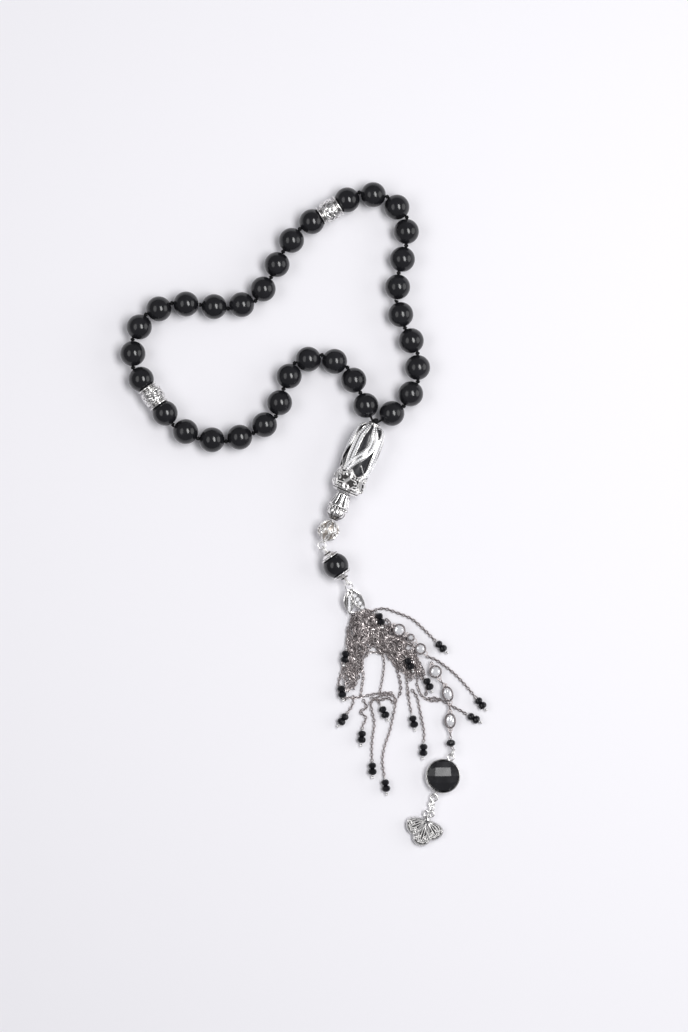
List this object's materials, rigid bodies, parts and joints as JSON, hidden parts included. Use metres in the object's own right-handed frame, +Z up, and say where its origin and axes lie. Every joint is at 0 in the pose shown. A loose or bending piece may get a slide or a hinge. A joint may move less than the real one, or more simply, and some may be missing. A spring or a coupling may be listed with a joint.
{
  "type": "prayer beads",
  "caption": "Black onyx prayer beads laid flat, with silver dividers, a caged silver head and a chain tassel with crystals, a black stone and an openwork charm.",
  "frame": {"origin": "Middle of the set's footprint, on the surface it lies on.", "axes": "+X to the right and +Y up the set from the charm to the top of the bead loop, seen from above; +Z up, away from the surface that the set lies on"},
  "size_m": [0.117, 0.211, 0.0107],
  "materials": {
    "onyx": "polished black onyx",
    "enamel": "glossy black enamel",
    "silver": "polished silver with dark recesses",
    "oxidised_silver": "oxidised silver",
    "chain": "fine oxidised silver cable chain",
    "thread": "black waxed thread"
  },
  "bodies": {
    "head": {"head_core": "enamel", "head_cage": "silver", "crown": "oxidised_silver", "neck": "silver", "head_pin": "silver"},
    "loop_link_1": {"thread_1": "thread"},
    "loop_link_2": {"thread_2": "thread"},
    "loop_link_3": {"thread_3": "thread"},
    "loop_link_4": {"thread_4": "thread"},
    "pendant_pin": {"bead_pin": "silver"},
    "bail": {"bail": "silver"},
    "chain_bundle": {"chain_bundle": "chain"},
    "tail_top": {"tail_top": "chain"},
    "tail_right": {"tail_right": "chain"},
    "tail_centre": {"tail_centre": "chain"},
    "tail_inner": {"tail_inner": "chain"},
    "tail_left": {"tail_left": "chain"},
    "crystal_strand": {"crystal_strand": "silver"},
    "stone_pendant": {"stone_bezel": "silver", "black_stone": "onyx"},
    "charm": {"charm": "silver"},
    "filigree_bead": {"filigree_bead": "silver"},
    "cap_upper": {"cap_upper": "silver"},
    "cap_lower": {"cap_lower": "silver"},
    "capped_bead": {"capped_bead": "onyx"},
    "divider_1": {"divider_1": "silver"},
    "divider_2": {"divider_2": "silver"},
    "bead_01": {"bead_01": "onyx"},
    "bead_02": {"bead_02": "onyx"},
    "bead_03": {"bead_03": "onyx"},
    "bead_04": {"bead_04": "onyx"},
    "bead_05": {"bead_05": "onyx"},
    "bead_06": {"bead_06": "onyx"},
    "bead_07": {"bead_07": "onyx"},
    "bead_08": {"bead_08": "onyx"},
    "bead_09": {"bead_09": "onyx"},
    "bead_10": {"bead_10": "onyx"},
    "bead_11": {"bead_11": "onyx"},
    "bead_12": {"bead_12": "onyx"},
    "bead_13": {"bead_13": "onyx"},
    "bead_14": {"bead_14": "onyx"},
    "bead_15": {"bead_15": "onyx"},
    "bead_16": {"bead_16": "onyx"},
    "bead_17": {"bead_17": "onyx"},
    "bead_18": {"bead_18": "onyx"},
    "bead_19": {"bead_19": "onyx"},
    "bead_20": {"bead_20": "onyx"},
    "bead_21": {"bead_21": "onyx"},
    "bead_22": {"bead_22": "onyx"},
    "bead_23": {"bead_23": "onyx"},
    "bead_24": {"bead_24": "onyx"},
    "bead_25": {"bead_25": "onyx"},
    "bead_26": {"bead_26": "onyx"},
    "bead_27": {"bead_27": "onyx"},
    "bead_28": {"bead_28": "onyx"},
    "bead_29": {"bead_29": "onyx"},
    "bead_30": {"bead_30": "onyx"},
    "bead_31": {"bead_31": "onyx"},
    "bead_32": {"bead_32": "onyx"},
    "bead_33": {"bead_33": "onyx"}
  },
  "joints": [
    {"name": "loop_swing", "type": "hinge", "parent": "head", "child": "loop_link_1", "pos_m": [0.02212, 0.02854, 0.00575], "axis": [0, 0, 1], "range_deg": [-9, 9]},
    {"name": "loop_shear", "type": "hinge", "parent": "loop_link_1", "child": "loop_link_2", "pos_m": [0.02925, 0.0679, 0.004], "axis": [0, 0, 1], "range_deg": [-4, 14]},
    {"name": "loop_shear_far", "type": "hinge", "parent": "loop_link_2", "child": "loop_link_3", "pos_m": [-0.03332, 0.06671, 0.004], "axis": [0, 0, 1], "range_deg": [-14, 4]},
    {"name": "loop_shear_near", "type": "hinge", "parent": "loop_link_3", "child": "loop_link_4", "pos_m": [-0.04187, 0.02851, 0.004], "axis": [0, 0, 1], "range_deg": [-4, 14]},
    {"name": "pendant_swing", "type": "hinge", "parent": "head", "child": "pendant_pin", "pos_m": [0.0059, -0.0106, 0.004], "axis": [0, 0, 1], "range_deg": [-30, 30]},
    {"name": "bail_swing", "type": "hinge", "parent": "pendant_pin", "child": "bail", "pos_m": [0.01381, -0.02223, 0.004], "axis": [0, 0, 1], "range_deg": [-9, 20]},
    {"name": "tassel_swing", "type": "hinge", "parent": "bail", "child": "chain_bundle", "pos_m": [0.01672, -0.03084, 0.0018], "axis": [0, 0, 1], "range_deg": [-10, 10]},
    {"name": "tail_top_swing", "type": "hinge", "parent": "chain_bundle", "child": "tail_top", "pos_m": [0.02122, -0.03106, 0.00047], "axis": [0, 0, 1], "range_deg": [-2, 15]},
    {"name": "tail_right_swing", "type": "hinge", "parent": "chain_bundle", "child": "tail_right", "pos_m": [0.04172, -0.04646, 0.00047], "axis": [0, 0, 1], "range_deg": [-3, 15]},
    {"name": "tail_centre_swing", "type": "hinge", "parent": "chain_bundle", "child": "tail_centre", "pos_m": [0.02492, -0.05806, 0.00047], "axis": [0, 0, 1], "range_deg": [-6, 6]},
    {"name": "tail_inner_swing", "type": "hinge", "parent": "chain_bundle", "child": "tail_inner", "pos_m": [0.03382, -0.05677, 0.00047], "axis": [0, 0, 1], "range_deg": [-6, 6]},
    {"name": "tail_left_swing", "type": "hinge", "parent": "chain_bundle", "child": "tail_left", "pos_m": [0.01612, -0.05906, 0.00047], "axis": [0, 0, 1], "range_deg": [-6, 6]},
    {"name": "strand_swing", "type": "hinge", "parent": "chain_bundle", "child": "crystal_strand", "pos_m": [0.04022, -0.04727, 0.0025], "axis": [0, 0, 1], "range_deg": [-4, 5]},
    {"name": "stone_swing", "type": "hinge", "parent": "crystal_strand", "child": "stone_pendant", "pos_m": [0.04687, -0.07687, 0.00255], "axis": [0, 0, 1], "range_deg": [-12, 20]},
    {"name": "charm_swing", "type": "hinge", "parent": "stone_pendant", "child": "charm", "pos_m": [0.04163, -0.08951, 0.00145], "axis": [0, 0, 1], "range_deg": [-15, 16]},
    {"name": "spin_filigree_bead", "type": "hinge", "parent": "head", "child": "filigree_bead", "pos_m": [0.00755, -0.00517, 0.00422], "axis": [-0.3966, -0.9171, -0.0416], "continuous": true},
    {"name": "spin_cap_upper", "type": "hinge", "parent": "pendant_pin", "child": "cap_upper", "pos_m": [0.00995, -0.01636, 0.004], "axis": [0.5751, -0.8181, 0], "continuous": true},
    {"name": "spin_cap_lower", "type": "hinge", "parent": "pendant_pin", "child": "cap_lower", "pos_m": [0.00995, -0.01636, 0.004], "axis": [0.5751, -0.8181, 0], "continuous": true},
    {"name": "spin_capped_bead", "type": "hinge", "parent": "pendant_pin", "child": "capped_bead", "pos_m": [0.00995, -0.01636, 0.004], "axis": [0.5751, -0.8181, 0], "continuous": true},
    {"name": "spin_divider_1", "type": "hinge", "parent": "loop_link_2", "child": "divider_1", "pos_m": [0.00792, 0.09666, 0.004], "axis": [-0.8516, -0.5243, 0], "continuous": true},
    {"name": "spin_divider_2", "type": "hinge", "parent": "loop_link_3", "child": "divider_2", "pos_m": [-0.04825, 0.03759, 0.004], "axis": [0.5748, -0.8183, 0], "continuous": true},
    {"name": "spin_bead_01", "type": "hinge", "parent": "loop_link_1", "child": "bead_01", "pos_m": [0.02776, 0.03207, 0.0047], "axis": [0.8367, 0.525, -0.1557], "continuous": true},
    {"name": "spin_bead_02", "type": "hinge", "parent": "loop_link_1", "child": "bead_02", "pos_m": [0.03376, 0.03834, 0.004], "axis": [0.4968, 0.8679, 0], "continuous": true},
    {"name": "spin_bead_03", "type": "hinge", "parent": "loop_link_1", "child": "bead_03", "pos_m": [0.03596, 0.04675, 0.004], "axis": [-0.0076, 1, 0], "continuous": true},
    {"name": "spin_bead_04", "type": "hinge", "parent": "loop_link_1", "child": "bead_04", "pos_m": [0.03393, 0.05528, 0.004], "axis": [-0.4426, 0.8967, 0], "continuous": true},
    {"name": "spin_bead_05", "type": "hinge", "parent": "loop_link_1", "child": "bead_05", "pos_m": [0.0306, 0.06361, 0.004], "axis": [-0.2991, 0.9542, 0], "continuous": true},
    {"name": "spin_bead_06", "type": "hinge", "parent": "loop_link_2", "child": "bead_06", "pos_m": [0.0296, 0.07239, 0.004], "axis": [0.0769, 0.997, 0], "continuous": true},
    {"name": "spin_bead_07", "type": "hinge", "parent": "loop_link_2", "child": "bead_07", "pos_m": [0.03113, 0.08122, 0.004], "axis": [0.2638, 0.9646, 0], "continuous": true},
    {"name": "spin_bead_08", "type": "hinge", "parent": "loop_link_2", "child": "bead_08", "pos_m": [0.03239, 0.09006, 0.004], "axis": [0.016, 0.9999, 0], "continuous": true},
    {"name": "spin_bead_09", "type": "hinge", "parent": "loop_link_2", "child": "bead_09", "pos_m": [0.02936, 0.09782, 0.004], "axis": [-0.6887, 0.725, 0], "continuous": true},
    {"name": "spin_bead_10", "type": "hinge", "parent": "loop_link_2", "child": "bead_10", "pos_m": [0.02182, 0.10178, 0.004], "axis": [-0.988, 0.1548, 0], "continuous": true},
    {"name": "spin_bead_11", "type": "hinge", "parent": "loop_link_2", "child": "bead_11", "pos_m": [0.01354, 0.10011, 0.004], "axis": [-0.8516, -0.5243, 0], "continuous": true},
    {"name": "spin_bead_12", "type": "hinge", "parent": "loop_link_2", "child": "bead_12", "pos_m": [0.0023, 0.0932, 0.004], "axis": [-0.8516, -0.5243, 0], "continuous": true},
    {"name": "spin_bead_13", "type": "hinge", "parent": "loop_link_2", "child": "bead_13", "pos_m": [-0.0042, 0.08721, 0.004], "axis": [-0.5933, -0.805, 0], "continuous": true},
    {"name": "spin_bead_14", "type": "hinge", "parent": "loop_link_2", "child": "bead_14", "pos_m": [-0.00881, 0.07953, 0.004], "axis": [-0.4302, -0.9027, 0], "continuous": true},
    {"name": "spin_bead_15", "type": "hinge", "parent": "loop_link_2", "child": "bead_15", "pos_m": [-0.01324, 0.07172, 0.004], "axis": [-0.5545, -0.8322, 0], "continuous": true},
    {"name": "spin_bead_16", "type": "hinge", "parent": "loop_link_2", "child": "bead_16", "pos_m": [-0.02007, 0.06676, 0.004], "axis": [-0.9626, -0.2709, 0], "continuous": true},
    {"name": "spin_bead_17", "type": "hinge", "parent": "loop_link_2", "child": "bead_17", "pos_m": [-0.02886, 0.06612, 0.004], "axis": [-0.9916, 0.1295, 0], "continuous": true},
    {"name": "spin_bead_18", "type": "hinge", "parent": "loop_link_3", "child": "bead_18", "pos_m": [-0.03782, 0.06696, 0.004], "axis": [-0.9984, 0.0564, 0], "continuous": true},
    {"name": "spin_bead_19", "type": "hinge", "parent": "loop_link_3", "child": "bead_19", "pos_m": [-0.04643, 0.06541, 0.004], "axis": [-0.9159, -0.4013, 0], "continuous": true},
    {"name": "spin_bead_20", "type": "hinge", "parent": "loop_link_3", "child": "bead_20", "pos_m": [-0.05268, 0.05964, 0.004], "axis": [-0.4735, -0.8808, 0], "continuous": true},
    {"name": "spin_bead_21", "type": "hinge", "parent": "loop_link_3", "child": "bead_21", "pos_m": [-0.05472, 0.05117, 0.004], "axis": [0.0203, -0.9998, 0], "continuous": true},
    {"name": "spin_bead_22", "type": "hinge", "parent": "loop_link_3", "child": "bead_22", "pos_m": [-0.05204, 0.04299, 0.004], "axis": [0.5748, -0.8183, 0], "continuous": true},
    {"name": "spin_bead_23", "type": "hinge", "parent": "loop_link_3", "child": "bead_23", "pos_m": [-0.04446, 0.03219, 0.004], "axis": [0.5748, -0.8183, 0], "continuous": true},
    {"name": "spin_bead_24", "type": "hinge", "parent": "loop_link_4", "child": "bead_24", "pos_m": [-0.03793, 0.02633, 0.004], "axis": [0.875, -0.4841, 0], "continuous": true},
    {"name": "spin_bead_25", "type": "hinge", "parent": "loop_link_4", "child": "bead_25", "pos_m": [-0.02952, 0.0237, 0.004], "axis": [0.9949, -0.1005, 0], "continuous": true},
    {"name": "spin_bead_26", "type": "hinge", "parent": "loop_link_4", "child": "bead_26", "pos_m": [-0.02073, 0.02454, 0.004], "axis": [0.9581, 0.2863, 0], "continuous": true},
    {"name": "spin_bead_27", "type": "hinge", "parent": "loop_link_4", "child": "bead_27", "pos_m": [-0.01281, 0.02851, 0.004], "axis": [0.8022, 0.5971, 0], "continuous": true},
    {"name": "spin_bead_28", "type": "hinge", "parent": "loop_link_4", "child": "bead_28", "pos_m": [-0.00799, 0.03553, 0.004], "axis": [0.2695, 0.963, 0], "continuous": true},
    {"name": "spin_bead_29", "type": "hinge", "parent": "loop_link_4", "child": "bead_29", "pos_m": [-0.00496, 0.04398, 0.004], "axis": [0.4037, 0.9149, 0], "continuous": true},
    {"name": "spin_bead_30", "type": "hinge", "parent": "loop_link_4", "child": "bead_30", "pos_m": [0.00117, 0.04938, 0.004], "axis": [0.9585, 0.2852, 0], "continuous": true},
    {"name": "spin_bead_31", "type": "hinge", "parent": "loop_link_4", "child": "bead_31", "pos_m": [0.00953, 0.04869, 0.004], "axis": [0.8986, -0.4388, 0], "continuous": true},
    {"name": "spin_bead_32", "type": "hinge", "parent": "loop_link_4", "child": "bead_32", "pos_m": [0.01563, 0.04272, 0.004], "axis": [0.4578, -0.8891, 0], "continuous": true},
    {"name": "spin_bead_33", "type": "hinge", "parent": "loop_link_4", "child": "bead_33", "pos_m": [0.01947, 0.03464, 0.0047], "axis": [0.3939, -0.9059, 0.1557], "continuous": true}
  ],
  "couplings": [
    {"joint": "loop_shear_far", "follows": "loop_shear", "ratio": -1},
    {"joint": "loop_shear_near", "follows": "loop_shear", "ratio": 1}
  ]
}
